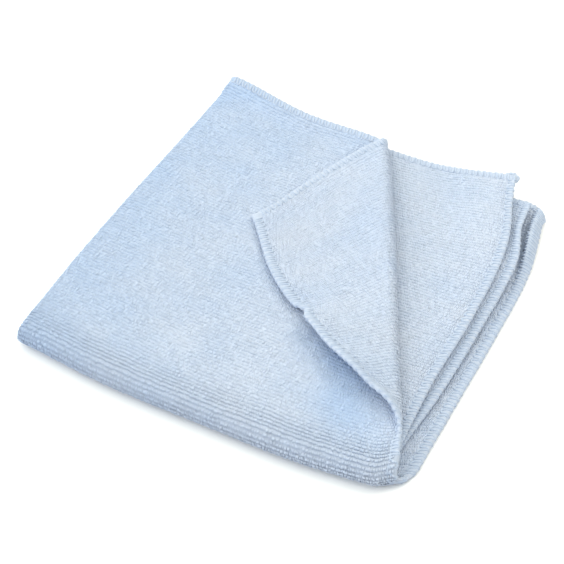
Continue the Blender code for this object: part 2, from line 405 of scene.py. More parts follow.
# ---------------------------------------------------------------- the folds
def through(values, t):
    """A smooth curve through equally spaced values, read at t from 0 to 1."""
    values = np.asarray(values, float)
    spans = len(values) - 1
    t = np.clip(t, 0.0, 1.0) * spans
    i = np.minimum(t.astype(int), spans - 1)
    t = t - i
    before = values[np.maximum(i - 1, 0)]
    start, end = values[i], values[i + 1]
    after = values[np.minimum(i + 2, spans)]
    slope_in = (end - before) / 2
    slope_out = (after - start) / 2
    return (
        start * (2 * t**3 - 3 * t**2 + 1)
        + slope_in * (t**3 - 2 * t**2 + t)
        + end * (3 * t**2 - 2 * t**3)
        + slope_out * (t**3 - t**2)
    )


def between(rows, t):
    """The radius and the opening of the roll at t along the crease."""
    at = [row.at for row in rows]
    t = np.clip(t, at[0], at[-1])
    i = np.clip(np.searchsorted(at, t, side="left") - 1, 0, len(rows) - 2)
    at, radius, opening = (np.array(column) for column in zip(*rows))
    share = (t - at[i]) / (at[i + 1] - at[i])
    share = share * share * (3 - 2 * share)
    radius = radius[i] + (radius[i + 1] - radius[i]) * share
    return radius, opening[i] + (opening[i + 1] - opening[i]) * share


def rising(value, start, end):
    """0 up to the start, 1 from the end on, and even steps between them."""
    return np.clip((value - start) / (end - start), 0.0, 1.0)


def plan_of(layer, x, y, v, outward):
    """Where a point of a true square layer lies once its folds and raw edges are where they really are."""
    a = np.clip(x / WIDTH, 0.0, 1.0)
    b = np.clip(y / DEPTH, 0.0, 1.0)
    shift_x = through(RIGHT_EDGE[layer], b) * a * a + through(LEFT_FOLD[layer], b) * (1 - a) ** 2
    shift_y = through(BACK_EDGE[layer], a) * b * b
    outer = (1 + outward / LEFT_RADIUS) / 2
    bulge = outer * through(OUTER_FRONT, a) + (1 - outer) * through(INNER_FRONT, a)
    bulge = bulge + outer * FRONT_CORNER_IN * np.exp(-(((WIDTH - x) / FRONT_CORNER_LENGTH) ** 2))
    shift_y = shift_y + bulge * np.exp(-np.maximum(y, 0.0) / FRONT_FADE)
    if layer in ("top", "bottom"):
        for pull in PULLS:
            near = np.exp(-(((v - pull.at) / pull.length) ** 2) - (np.minimum(v, 0.0) / PULL_FADE) ** 2)
            shift_x = shift_x - pull.inward * near * np.exp(-((WIDTH - x) / pull.reach))
    if layer == "bottom":
        near = np.exp(-(((WIDTH - x) / ROUND_LENGTH) ** 2))
        shift_y = shift_y - ROUND_INWARD * near * np.exp(-((DEPTH - y) / ROUND_REACH))
    return x + shift_x, y + shift_y


def lift_of(layer, x, y):
    """How far a layer stands above its place in a flat stack."""
    a = np.clip(x / WIDTH, 0.0, 1.0)
    b = np.clip(y / DEPTH, 0.0, 1.0)
    from_right = np.maximum(WIDTH - x, 0.0) / RIGHT_LIFT_WIDTH
    from_back = np.maximum(DEPTH - y, 0.0) / BACK_LIFT_WIDTH
    lift = np.maximum(through(RIGHT_LIFT[layer], b), 0.0) * np.exp(-from_right * from_right)
    lift = lift + np.maximum(through(BACK_LIFT[layer], a), 0.0) * np.exp(-from_back * from_back)
    for wave in WAVES:
        angle = 2 * np.pi * (x / wave.across_x + y / wave.across_y) + wave.phase
        fade = a * b * (2 - a) * (2 - b)
        lift = lift + wave.height * WAVE_SHARE[layer] * fade * (1 + np.sin(angle)) / 2
    return lift


def trough_of(layer, x, y):
    """How far a layer sinks in front of its back hem. Layers that meet in the left fold sink alike there."""
    depth = np.maximum(through(TROUGH, x / WIDTH), 0.0)
    depth = depth * np.exp(-(((DEPTH - y - TROUGH_AT) / TROUGH_WIDTH) ** 2))
    by_fold = np.exp(-((np.maximum(x, 0.0) / TROUGH_FROM_FOLD) ** 2))
    return depth * (TROUGH_SHARE[layer] + (TROUGH_AT_FOLD[layer] - TROUGH_SHARE[layer]) * by_fold)


def crease_frame():
    """The crease's length, its direction and the direction across it, towards the corner."""
    run_x = CREASE_END[0] - CREASE_START[0]
    run_y = CREASE_END[1] - CREASE_START[1]
    length = math.hypot(run_x, run_y)
    return length, (run_x / length, run_y / length), (-run_y / length, run_x / length)


def past_crease(x, y):
    """How far along the crease and how far past it a point of the top layer lies in plan."""
    length, along, across = crease_frame()
    from_x, from_y = x - CREASE_START[0], y - CREASE_START[1]
    return (from_x * along[0] + from_y * along[1]) / length, from_x * across[0] + from_y * across[1]


def turned_back(x, y, z):
    """Where points of the top layer lie once the corner past the crease is turned back."""
    across = crease_frame()[2]
    at, past = past_crease(x, y)
    radius, opening = between(ROLLS, at)
    closing = math.pi - opening
    settle = (2 * radius - FLAP_REST) * np.maximum(np.cos(opening), 0.0)
    turn = np.minimum(past / radius, closing + settle / FLAP_SETTLE)
    straight = past - turn * radius
    out = radius * np.sin(turn) + straight * np.cos(closing)
    rise = radius * (1 - np.cos(turn)) + straight * np.sin(closing)
    rise = rise - settle * (1 - np.exp(-straight / FLAP_SETTLE))
    new_x = x + (out - past) * across[0]
    new_y = y + (out - past) * across[1]
    below = TOP_MIDDLE + lift_of("top", new_x, new_y)
    new_z = z + (below - z) * closing / math.pi + rise
    turned = past > 0
    return np.where(turned, new_x, x), np.where(turned, new_y, y), np.where(turned, new_z, z)


def layer_point(layer, u, v):
    """Points of one layer's middle surface, in plan from the two folds, before its corner is turned back."""
    in_fold = np.abs(u) < LEFT_ARC
    side = 1.0 if layer in ("top", "bottom") else -1.0
    x = np.where(in_fold, -LEFT_RADIUS * np.cos(u / LEFT_RADIUS), np.abs(u) - LEFT_ARC)
    outward = np.where(in_fold, LEFT_RADIUS * np.sin(u / LEFT_RADIUS), side * LEFT_RADIUS)
    depth = FRONT_DEPTH + FRONT_DEPTH_GAIN * outward
    rise = FRONT_RISE + outward
    in_roll = np.abs(v) < FRONT_ARC
    angle = v / FRONT_ARC * math.pi / 2
    y = np.where(in_roll, -depth * np.cos(angle), np.abs(v) - FRONT_ARC)
    up = 1.0 if layer in ("top", "second") else -1.0
    z = np.where(in_roll, rise * np.sin(angle), up * rise)
    z = z + STACK_MIDDLE + lift_of(layer, x, y) - trough_of(layer, x, y)
    b = np.clip(y / DEPTH, 0.0, 1.0)
    from_right = np.maximum(WIDTH - x, 0.0)
    x, y = plan_of(layer, x, y, v, outward)
    if layer in CURL:
        curl = CURL[layer]
        near = np.exp(-(((from_right - curl.ridge) / curl.width) ** 2))
        rise = curl.rise * near * np.exp(-(((b - curl.at) / curl.length) ** 2))
        drawn = curl.inward * near * np.exp(-(((b - curl.at) / INWARD_LENGTH) ** 2))
        x, y, z = x + rise * curl.out - drawn, y + rise * curl.forward, z + rise
    return x, y, z


def folded(u, v):
    """The folded cloth's middle surface at (u, v), as rows of x, y, z from the middle of the outline."""
    u, v = np.broadcast_arrays(np.asarray(u, float), np.asarray(v, float))
    out = np.empty(u.shape + (3,))
    for layer in ("top", "second", "third", "bottom"):
        here = ((u >= 0) == (layer in ("top", "bottom"))) & ((v >= 0) == (layer in ("top", "second")))
        x, y, z = layer_point(layer, u[here], v[here])
        if layer == "top":
            flat = u[here] <= LEFT_ARC
            turned = turned_back(x, y, z)
            x, y, z = (np.where(flat, old, new) for old, new in zip((x, y, z), turned))
        out[here] = np.stack([x - MIDDLE_X, y - MIDDLE_Y, z], axis=-1)
    return out


def surface(u, v, step=0.02):
    """The middle surface and its unit normal, towards the cloth's front face."""
    du = folded(u + step, v) - folded(u - step, v)
    dv = folded(u, v + step) - folded(u, v - step)
    normal = np.cross(du, dv)
    normal /= np.linalg.norm(normal, axis=-1, keepdims=True)
    return folded(u, v), normal


def across_ribs(u, v, step=0.05):
    """The direction across the ribs on the folded cloth."""
    across = folded(u, v + step) - folded(u, v - step)
    return across / np.linalg.norm(across, axis=1, keepdims=True)


# ---------------------------------------------------------------- what lies on the flat cloth
def inside_edges(u, v):
    """How far a point lies in from the nearest raw edge."""
    return HALF - np.maximum(np.abs(u), np.abs(v))


def shows(u, v, side):
    """Whether a point shows on the cloth's front or back face. It has pile there, and a finer grid."""
    lower_hems = (v < 0) & (inside_edges(u, v) < SHOWN_LOWER_HEMS)
    x, y = layer_point("top", np.abs(u), np.abs(v))[:2]
    at, past = past_crease(x, y)
    if side == 0:
        across = crease_frame()[2]
        over_x = x - 2 * past * across[0]
        over_y = y - 2 * past * across[1]
        covered = (past < -COVERED_FROM_CREASE) & (at < COVERED_TO)
        covered &= (over_x < WIDTH - COVERED_FROM_RIGHT) & (over_y < DEPTH - COVERED_FROM_BACK)
        top = (u > -SHOWN_PAST_LEFT) & (v > -SHOWN_PAST_FRONT) & (past < SHOWN_PAST_CREASE) & ~covered
        return top | (lower_hems & (u < 0)) | (np.abs(u) < SHOWN_PAST_LEFT)
    corner = (u > 0) & (v > 0) & (past > -SHOWN_ON_CORNER)
    x, y = layer_point("second", -np.abs(u), np.abs(v))[:2]
    second = (u < 0) & (v > 0) & (past_crease(x, y)[1] > -SHOWN_BESIDE_CORNER)
    return corner | second | (lower_hems & (u > 0))


def ripples(rows, u, v):
    """The sum of these ripples at (u, v)."""
    angles = [2 * np.pi * (u / row.across_u + v / row.across_v) + row.phase for row in rows]
    return sum(row.height * np.sin(angle) for row, angle in zip(rows, angles))


def opened(u, v, side):
    """How far the grooves between the ribs stand open: most on the front roll, and ever less behind it."""
    behind = np.maximum(np.abs(v) - FRONT_ARC, 0.0) / OPEN_REACH
    more = np.clip(OPEN_LEFT + OPEN_MORE_RIGHT * u / HALF, 0.0, 1.0)
    return np.where((side == 0) & (u > -OPEN_PAST_LEFT), more * np.exp(-behind * behind), 0.0)


def groove(u, v, side):
    """How much deeper than elsewhere the grooves are: most of all on the underside of the front roll."""
    return OPEN_DEPTH * opened(u, v, side) * (1 + OPEN_UNDER * rising(v, *UNDER_GROOVES))


def ground_painted_shade(u, v, side):
    """The ground's painted shade, on the scale from the deepest groove (-1) to the top of a loop (1)."""
    in_hem = np.clip(HEM_END - HALF + np.maximum(np.abs(u), np.abs(v)), 0.0, 1.0)
    low = np.maximum(rising(v, *UNDER_GROUND_SHADE), OPEN_SHADE_LEAST) * opened(u, v, side)
    return GROUND_SHADE_LEVEL * (1 - HEM_SHADE_DEEPER * in_hem) + (OPEN_GROOVE_SHADE - GROUND_SHADE_LEVEL) * low


def dye_and_shade(u, v, side):
    """How pink the dye is, from 0 to 1, before its blotches, with painted shade beside the turned-back
    corner.
    """
    edge = np.exp(-np.abs(u) / BLUE_FROM_FOLD) + BLUE_BY_EDGE * np.exp(-(HALF - np.abs(v)) / BLUE_FROM_EDGE)
    x, y = layer_point("top", np.abs(u), np.abs(v))[:2]
    at, past = past_crease(x, y)
    # Painted shade: a bluer band on the cloth where the turned-back corner shades it.
    beside = rising(at, *CORNER_SHADE_SHARES) * np.exp(-(((past + CORNER_SHADE_BEFORE) / CORNER_SHADE_WIDTH) ** 2))
    beside = beside * rising(v, 0.0, CORNER_SHADE_FROM_FRONT)
    blue = EDGE_BLUE * np.minimum(edge + CORNER_SHADE_BLUE * beside, BLUE_MOST)
    return np.where(side == 0, FRONT_PINK - blue, BACK_PINK)


def half_thickness(u, v, side):
    """How far a face lies from the middle surface: thin in the hem, and a little thinner under pile."""
    inside = inside_edges(u, v)
    share = np.interp(inside, [row.inside for row in HEM_SHAPE], [row.share for row in HEM_SHAPE])
    piled = np.where(side == 0, shows(u, v, 0), shows(u, v, 1))
    piled = piled * np.clip((inside - NEEDLE_LINE) / PILE_RAMP, 0.0, 1.0)
    uneven = ripples(UNEVEN, u, v) * np.clip(inside / UNEVEN_FROM_EDGE, 0.0, UNEVEN_MOST)
    uneven = uneven * np.clip(np.abs(u) / UNEVEN_FROM_LEFT, 0.0, 1.0)
    return SHEET / 2 * share + uneven - (PILE + groove(u, v, side)) * piled


def scalloped(u, v):
    """The flat cloth's points with its raw edges drawn in a little between the stitches."""
    moved = []
    for along, across in ((v, u), (u, v)):
        inside = HALF - np.abs(across)
        wave = (1 + np.cos(2 * np.pi * along / STITCH)) / 2
        wave = wave + SCALLOP_UNEVEN * np.sin(along / SCALLOP_DRIFT) ** 2
        moved.append(across - np.sign(across) * SCALLOP * wave * np.exp(-inside / SCALLOP_REACH))
    return moved[0], moved[1]


def carry(mesh, u, v, side, painted_shade_and_tone):
    """Keep each point's place on the flat cloth, its painted shade and its dye, with painted shade by the
    turned-back corner, for the material.
    """
    flat = mesh.attributes.new("flat", "FLOAT_VECTOR", "POINT")
    flat.data.foreach_set("vector", np.stack([u, v, side], axis=-1).astype(np.float32).ravel())
    for name, values in (("painted_shade_and_tone", painted_shade_and_tone), ("dye_and_shade", dye_and_shade(u, v, side))):
        mesh.attributes.new(name, "FLOAT", "POINT").data.foreach_set("value", values.astype(np.float32))


# ---------------------------------------------------------------- the sheet
def grid_lines(spans):
    """The grid's lines in one direction, with the number of parts that each cell can be cut into."""
    near = [HALF - inside for inside in EDGE_LINES]
    lines = [-value for value in near]
    parts = [1] * len(near)
    for span in spans:
        for i in range(span.cells):
            lines.append(span.start + (span.end - span.start) * i / span.cells)
            parts.append(span.parts)
    lines.append(spans[-1].end)
    lines += near[::-1]
    parts += [1] * len(near)
    return np.array(lines), np.array(parts)


def walk(side, i0, j0, i1, j1, cut):
    """The points from one corner of a cell up to the next, those between them only if it is cut there."""
    if not cut:
        return [(side, i0, j0)]
    steps = max(abs(i1 - i0), abs(j1 - j0))
    di, dj = int(np.sign(i1 - i0)), int(np.sign(j1 - j0))
    return [(side, i0 + di * k, j0 + dj * k) for k in range(steps)]


def cell_faces(side, fine, at_u, at_v):
    """The faces on one side of the sheet, each a ring of points (side, i, j). A fine cell is cut up."""
    rows, columns = fine.shape
    faces = []
    for i in range(rows):
        for j in range(columns):
            a, b, c, d = at_u[i], at_u[i + 1], at_v[j], at_v[j + 1]
            if fine[i, j]:
                for p in range(a, b):
                    for q in range(c, d):
                        corners = ((p, q), (p + 1, q), (p + 1, q + 1), (p, q + 1))
                        faces.append([(side, *corner) for corner in corners])
                continue
            below = j > 0 and fine[i, j - 1]
            above = j < columns - 1 and fine[i, j + 1]
            left = i > 0 and fine[i - 1, j]
            right = i < rows - 1 and fine[i + 1, j]
            ring = walk(side, a, c, b, c, below) + walk(side, b, c, b, d, right)
            faces.append(ring + walk(side, b, d, a, d, above) + walk(side, a, d, a, c, left))
    return faces if side == 0 else [ring[::-1] for ring in faces]


def rim_faces(fine, cells, ends):
    """The rim along one raw edge. Its ends give a cell's two corners there, in the front face's order."""
    faces = []
    for cell in cells:
        (i0, j0), (i1, j1) = ends(*cell)
        front, back = (walk(side, i0, j0, i1, j1, fine[side][cell]) + [(side, i1, j1)] for side in (0, 1))
        if len(front) != len(back):
            faces.append(front[::-1] + back)
            continue
        for k in range(len(front) - 1):
            faces.append([front[k + 1], front[k], back[k], back[k + 1]])
    return faces


def all_rims(fine, at_u, at_v):
    """The rim round the whole sheet, along its four raw edges."""
    rows, columns = fine[0].shape
    last_i, last_j = at_u[-1], at_v[-1]
    front, back = ([(i, j) for i in range(rows)] for j in (0, columns - 1))
    left, right = ([(i, j) for j in range(columns)] for i in (0, rows - 1))
    return (
        rim_faces(fine, front, lambda i, j: ((at_u[i], 0), (at_u[i + 1], 0)))
        + rim_faces(fine, right, lambda i, j: ((last_i, at_v[j]), (last_i, at_v[j + 1])))
        + rim_faces(fine, back, lambda i, j: ((at_u[i + 1], last_j), (at_u[i], last_j)))
        + rim_faces(fine, left, lambda i, j: ((0, at_v[j + 1]), (0, at_v[j])))
    )


def sheet_mesh():
    """The closed mesh of the cloth: a grid of cells on each face, finer where it shows, and its rim."""
    lines_u, parts_u = grid_lines(SPANS_U)
    lines_v, parts_v = grid_lines(SPANS_V)
    at_u = np.concatenate([[0], np.cumsum(parts_u)])
    at_v = np.concatenate([[0], np.cumsum(parts_v)])
    middles = [(lines[1:] + lines[:-1]) / 2 for lines in (lines_u, lines_v)]
    fine = [shows(*np.meshgrid(*middles, indexing="ij"), side) for side in (0, 1)]
    faces = cell_faces(0, fine[0], at_u, at_v) + cell_faces(1, fine[1], at_u, at_v)
    faces += all_rims(fine, at_u, at_v)
    numbers = {}
    numbered = [[numbers.setdefault(point, len(numbers)) for point in ring] for ring in faces]
    side, i, j = np.array(list(numbers)).T
    u = np.interp(np.arange(at_u[-1] + 1), at_u, lines_u)[i]
    v = np.interp(np.arange(at_v[-1] + 1), at_v, lines_v)[j]
    points, normals = surface(*scalloped(u, v))
    away = half_thickness(u, v, side) * np.where(side == 0, 1.0, -1.0)
    mesh = bpy.data.meshes.new("cloth_sheet")
    mesh.from_pydata(((points + normals * away[:, None]) * MM).tolist(), [], numbered)
    carry(mesh, u, v, side, ground_painted_shade(u, v, side))
    mesh.shade_smooth()
    return mesh


# ---------------------------------------------------------------- the pile
def laid_round(run, arc, length, outer):
    """Where a point lies across a fold: on its outer side the pile is as far apart as on the flat."""
    over = np.abs(run) - length
    laid = np.where(over > 0, arc + over, np.abs(run) * arc / length) * np.sign(run)
    return np.where(outer, laid, run)


def pile_spots(rng):
    """Where the loops stand: at each step along each rib that shows, as rows of u, v and side."""
    ribs = np.arange(-int(HALF / RIB) - 2, int(HALF / RIB) + 3)
    steps = np.arange(-HALF, HALF, LOOP_STEP)
    found = []
    for side in (0, 1):
        u, rib = np.meshgrid(steps, ribs, indexing="ij")
        u = u + (rib % 2) * LOOP_STEP / 2 + rng.normal(0.0, LOOP_ALONG, u.shape)
        u = laid_round(u, LEFT_ARC, FOLD_LENGTH, side == 0)
        v = laid_round(rib * RIB, FRONT_ARC, ROLL_LENGTH, (u > 0) & (side == 0))
        wander = ripples(WANDER, u, v) * np.clip(np.abs(v) / WANDER_FROM_FRONT, WANDER_LEAST, 1.0)
        v = v - wander + rng.normal(0.0, LOOP_ACROSS, u.shape)
        u, v = u.ravel(), v.ravel()
        bare = PILE_FROM - PILE_NEARER * np.exp(-((v / ROLL_LENGTH) ** 2)) * (u > 0)
        keep = (inside_edges(u, v) > bare) & shows(u, v, side)
        found.append(np.stack([u[keep], v[keep], np.full(keep.sum(), float(side))], axis=-1))
    return np.concatenate(found)


def pile_loops(spots, rng):
    """Each spot's loop: its points, one at each end and a ring of four at each bend, and their painted
    shades.
    """
    count = len(spots)
    u, v, side = spots.T
    points, normals = surface(u, v)
    across = across_ribs(u, v)
    up = normals * np.where(side == 0, 1.0, -1.0)[:, None]
    along = np.cross(across, up)
    wide = opened(u, v, side)
    deeper = groove(u, v, side)
    slant = rng.normal(0.0, LOOP_SLANT, count) * (1 - OPEN_STRAIGHT * wide)
    turned = across * np.cos(slant)[:, None] + along * np.sin(slant)[:, None]
    beside = np.cross(turned, up)
    ground = half_thickness(u, v, side)
    size = 1 + rng.normal(0.0, LOOP_SIZE, count)
    tall = rng.normal(0.0, LOOP_HEIGHT, count) * (1 + OPEN_UNEVEN * wide)
    darker = np.abs(rng.normal(0.0, LOOP_SHADE, count))
    lean = rng.normal(0.0, LOOP_LEAN, count)
    # Painted shade: loops under the front roll are painted darker, on top of each loop's own random tone.
    darker = darker + UNDER_SHADE * rising(v, *UNDER_LOOP_SHADE) * wide
    verts, loop_shade_and_tone = [], []
    for k, bend in enumerate(LOOP):
        middle = points + turned * (bend.across * size * (1 - OPEN_NARROW * wide))[:, None]
        over = bend.height if bend.height < 0 else bend.height + tall + deeper
        middle = middle + up * (ground + over)[:, None]
        if bend.radius == 0:
            verts.append(middle[:, None])
            # The loop's ends take the ground's painted shade.
            loop_shade_and_tone.append(ground_painted_shade(u, v, side)[:, None])
            continue
        middle = middle + beside * lean[:, None]
        slope = (LOOP[k + 1].height - LOOP[k - 1].height) / (LOOP[k + 1].across - LOOP[k - 1].across)
        outward = up - turned * slope
        outward /= np.linalg.norm(outward, axis=1, keepdims=True)
        flank = beside * (LOOP_SPREAD - OPEN_SPREAD * wide)[:, None]
        radius = bend.radius * size * (1 + rng.normal(0.0, LOOP_THICKNESS, count))
        ring = (outward, flank, -outward, -flank)
        verts.append(np.stack([middle + way * radius[:, None] for way in ring], axis=1))
        # Painted shade: each ring is painted darker on the loop's flanks and underside than on its top.
        loop_shade_and_tone.append(np.array([LOOP_RING_SHADES]) - darker[:, None])
    return np.concatenate(verts, axis=1), np.concatenate(loop_shade_and_tone, axis=1)


def loop_faces(last):
    """The faces of one loop, whose last point has this number: its ends, and the bands between its rings."""
    faces = [(0, 1 + k, 1 + (k + 1) % 4) for k in range(4)]
    for ring in range(1, last - 4, 4):
        faces += [(ring + k, ring + k + 4, ring + (k + 1) % 4 + 4, ring + (k + 1) % 4) for k in range(4)]
    return faces + [(last, last - 4 + (k + 1) % 4, last - 4 + k) for k in range(4)]


def pile_meshes():
    """The pile: a closed, bent loop at each spot, in a few meshes of like size."""
    rng = np.random.default_rng(PILE_SEED)
    spots = pile_spots(rng)
    verts, loop_shade_and_tone = pile_loops(spots, rng)
    each = verts.shape[1]
    pattern = loop_faces(each - 1)
    meshes = []
    for chosen in np.array_split(np.arange(len(spots)), -(-len(spots) // LOOPS_EACH)):
        bases = range(0, len(chosen) * each, each)
        faces = [[base + k for k in face] for base in bases for face in pattern]
        mesh = bpy.data.meshes.new("pile")
        mesh.from_pydata((verts[chosen].reshape(-1, 3) * MM).tolist(), [], faces)
        carry(mesh, *np.repeat(spots[chosen], each, axis=0).T, loop_shade_and_tone[chosen].ravel())
        mesh.shade_smooth()
        meshes.append(mesh)
    return meshes


# ---------------------------------------------------------------- the overlock thread
def on_edge(edge, s, inside):
    """(u, v) of a point s along one raw edge and this far in from it."""
    near = HALF - inside
    return {
        "back": (s, near),
        "right": (near, s),
        "front": (s, -near),
        "left": (-near, s),
    }[edge]


def thread_points(edge, s, inside, height, face, step=0.3):
    """Points of a thread on the hem: s along the edge, so far inside it, so high over the middle surface."""
    s = np.asarray(s, float)
    inside = np.asarray(inside, float)
    held = np.maximum(inside, 0.0)
    points, normals = surface(*np.broadcast_arrays(*on_edge(edge, s, held)))
    deeper = folded(*np.broadcast_arrays(*on_edge(edge, s, held + step)))
    outward = points - deeper
    outward /= np.linalg.norm(outward, axis=-1, keepdims=True)
    over = np.minimum(inside, 0.0)
    return points - outward * over[:, None] + normals * (np.asarray(height) * face)[:, None]


def tube(points, radius, sides=THREAD_SIDES):
    """Vertices and faces of a closed tube along these points."""
    ahead = np.gradient(points, axis=0)
    ahead /= np.linalg.norm(ahead, axis=1, keepdims=True)
    normal = np.cross(ahead[0], OFF_AXIS)
    frames = []
    for direction in ahead:
        normal = normal - direction * (normal @ direction)
        normal /= np.linalg.norm(normal)
        frames.append((normal, np.cross(direction, normal)))
    frames = np.array(frames)[:, :, None]
    angle = (np.arange(sides) / sides * 2 * np.pi)[None, :, None]
    radius = np.broadcast_to(np.asarray(radius, float), (len(points),))
    ring = np.cos(angle) * frames[:, 0] + np.sin(angle) * frames[:, 1]
    verts = (points[:, None] + ring * radius[:, None, None]).reshape(-1, 3)
    faces = []
    for k in range(len(points) - 1):
        for m in range(sides):
            n = (m + 1) % sides
            faces.append([k * sides + m, k * sides + n, (k + 1) * sides + n, (k + 1) * sides + m])
    faces.append(list(range(sides))[::-1])
    faces.append([(len(points) - 1) * sides + m for m in range(sides)])
    return verts, faces


def looper(edge, face, starts, rng):
    """The looper thread along one raw edge, on one face of its hem."""
    jitter = rng.normal(0.0, THREAD_JITTER, (len(starts), len(LOOPER)))
    along = [turn.along + THREAD_SLANT * turn.inside / NEEDLE_LINE * face for turn in LOOPER]
    s = starts[:, None] + np.array(along)[None, :] * STITCH + jitter
    inside = np.array([[turn.inside for turn in LOOPER]]) + jitter * JITTER_INWARD
    height = np.array([turn.height for turn in LOOPER] * len(starts))
    points = thread_points(edge, s.ravel(), inside.ravel(), height, face)
    return tube(points, THREAD_RADIUS * (1 + rng.normal(0.0, THREAD_UNEVEN, len(points))))


def needle_stitch(edge, start):
    """One stitch of the needle's thread, on the front face of the hem."""
    s = np.array([start + turn.along * STITCH for turn in NEEDLE])
    inside = np.array([turn.inside for turn in NEEDLE])
    height = np.array([turn.height for turn in NEEDLE])
    return tube(thread_points(edge, s, inside, height, 1), THREAD_RADIUS * NEEDLE_SHARE, NEEDLE_SIDES)


def thread_end(tail, rng):
    """A short end of the overlock chain, folded back on its corner."""
    points = np.concatenate([thread_points(t.edge, [t.along], [t.inside], [t.height], 1.0) for t in tail])
    fine = np.linspace(0.0, 1.0, TAIL_STEPS * len(tail))
    points = np.stack([through(points[:, k], fine) for k in range(3)], axis=1)
    lumps = 1 + TAIL_LUMP * np.sin(fine * TAIL_LUMPS) + rng.normal(0.0, TAIL_UNEVEN, len(fine))
    return tube(points, through([t.radius for t in tail], fine) * lumps, TAIL_SIDES)


def threads_mesh():
    """The overlock thread round the four raw edges: a looper on each face, and the needle's stitches."""
    rng = np.random.default_rng(THREAD_SEED)
    count = int((SIDE - 2 * THREAD_FROM_CORNER) / STITCH)
    starts = -HALF + THREAD_FROM_CORNER + STITCH * np.arange(count)
    tubes = []
    for edge in ("back", "right", "front", "left"):
        tubes += [looper(edge, face, starts, rng) for face in (1, -1)]
        tubes += [needle_stitch(edge, start) for start in starts]
    tubes += [thread_end(tail, rng) for tail in TAILS]
    verts, faces, base = [], [], 0
    for points, rings in tubes:
        points[:, 2] = np.maximum(points[:, 2], 0.0)
        verts.append(points)
        faces += [[base + k for k in ring] for ring in rings]
        base += len(points)
    mesh = bpy.data.meshes.new("overlock_thread")
    mesh.from_pydata((np.concatenate(verts) * MM).tolist(), [], faces)
    mesh.shade_smooth()
    return mesh


# ---------------------------------------------------------------- materials
def node(tree, kind, place, **values):
    """A new node of this kind, with its properties set."""
    made = tree.nodes.new(kind)
    made.location = place
    for name, value in values.items():
        setattr(made, name, value)
    return made


def new_material(name, roughness, specular, sheen, sheen_roughness=0.5):
    """A material with these numbers on its shader. Also its node tree and the shader's inputs."""
    material = bpy.data.materials.new(name)
    material.use_nodes = True
    inputs = material.node_tree.nodes["Principled BSDF"].inputs
    inputs["Roughness"].default_value = roughness
    inputs["Specular IOR Level"].default_value = specular
    inputs["Sheen Weight"].default_value = sheen
    inputs["Sheen Roughness"].default_value = sheen_roughness
    return material, material.node_tree, inputs


def flat_noise(tree, flat, scale, detail, place, stretch=1.0):
    """Noise over the flat cloth, other on its back than on its front. The stretch makes it finer along v."""
    mapping = node(tree, "ShaderNodeMapping", (place[0] - 200, place[1]))
    mapping.inputs["Scale"].default_value = (scale, scale * stretch, scale * FACES_APART)
    tree.links.new(flat.outputs["Vector"], mapping.inputs["Vector"])
    made = node(tree, "ShaderNodeTexNoise", place)
    made.inputs["Scale"].default_value = 1.0
    made.inputs["Detail"].default_value = detail
    tree.links.new(mapping.outputs["Vector"], made.inputs["Vector"])
    return made


def dyed(tree, flat):
    """The dye's colour, with its painted shade: soft blotches, pinker and bluer, on top of what each point
    carries.
    """
    blotch = flat_noise(tree, flat, BLOTCH_SCALE, 2.5, (-1100, 400), BLOTCH_STRETCH)
    pink_and_shade = node(tree, "ShaderNodeAttribute", (-1300, 650), attribute_name="dye_and_shade")
    uneven = node(tree, "ShaderNodeMath", (-1100, 650), operation="MULTIPLY_ADD")
    uneven.inputs[1].default_value = BLOTCH
    uneven.inputs[2].default_value = -0.5 * BLOTCH
    tree.links.new(blotch.outputs["Fac"], uneven.inputs[0])
    mixed = node(tree, "ShaderNodeMath", (-950, 550), operation="ADD")
    tree.links.new(uneven.outputs[0], mixed.inputs[0])
    tree.links.new(pink_and_shade.outputs["Fac"], mixed.inputs[1])
    tint = node(tree, "ShaderNodeValToRGB", (-800, 400))
    tint.color_ramp.elements[0].color = BLUER
    tint.color_ramp.elements[1].color = PINKER
    tree.links.new(mixed.outputs[0], tint.inputs["Fac"])
    return tint.outputs["Color"]


def shaded(tree, flat):
    """How bright the cloth is: painted shade, darker between its loops than on their tops, with a fine
    grain.
    """
    grain = flat_noise(tree, flat, GRAIN_SCALE, 2.0, (-1100, 100))
    speckle = node(tree, "ShaderNodeMapRange", (-800, 100))
    speckle.inputs["From Min"].default_value = 0.25
    speckle.inputs["From Max"].default_value = 0.75
    speckle.inputs["To Min"].default_value = 0.94
    speckle.inputs["To Max"].default_value = 1.05
    tree.links.new(grain.outputs["Fac"], speckle.inputs["Value"])
    # The painted shade that each point carries, from -1 to 1, becomes a brightness from DEEP_SHADE to 1.
    painted_shade_and_tone = node(tree, "ShaderNodeAttribute", (-1000, -200), attribute_name="painted_shade_and_tone")
    height = node(tree, "ShaderNodeMapRange", (-800, -200))
    height.inputs["From Min"].default_value = -1.0
    height.inputs["To Min"].default_value = DEEP_SHADE
    height.inputs["To Max"].default_value = 1.0
    tree.links.new(painted_shade_and_tone.outputs["Fac"], height.inputs["Value"])
    shade = node(tree, "ShaderNodeMath", (-400, 0), operation="MULTIPLY")
    tree.links.new(speckle.outputs["Result"], shade.inputs[0])
    tree.links.new(height.outputs["Result"], shade.inputs[1])
    return shade.outputs[0]


def fibres_normal(tree):
    """The nap of the single fibres, which are too fine for the mesh."""
    where = node(tree, "ShaderNodeTexCoord", (-900, -500))
    fibres = node(tree, "ShaderNodeTexNoise", (-700, -500))
    fibres.inputs["Scale"].default_value = FIBRE_SCALE
    fibres.inputs["Detail"].default_value = 2.0
    tree.links.new(where.outputs["Object"], fibres.inputs["Vector"])
    bump = node(tree, "ShaderNodeBump", (-300, -500))
    bump.inputs["Strength"].default_value = 0.5
    bump.inputs["Distance"].default_value = FIBRE_HEIGHT * MM
    tree.links.new(fibres.outputs["Fac"], bump.inputs["Height"])
    return bump.outputs["Normal"]


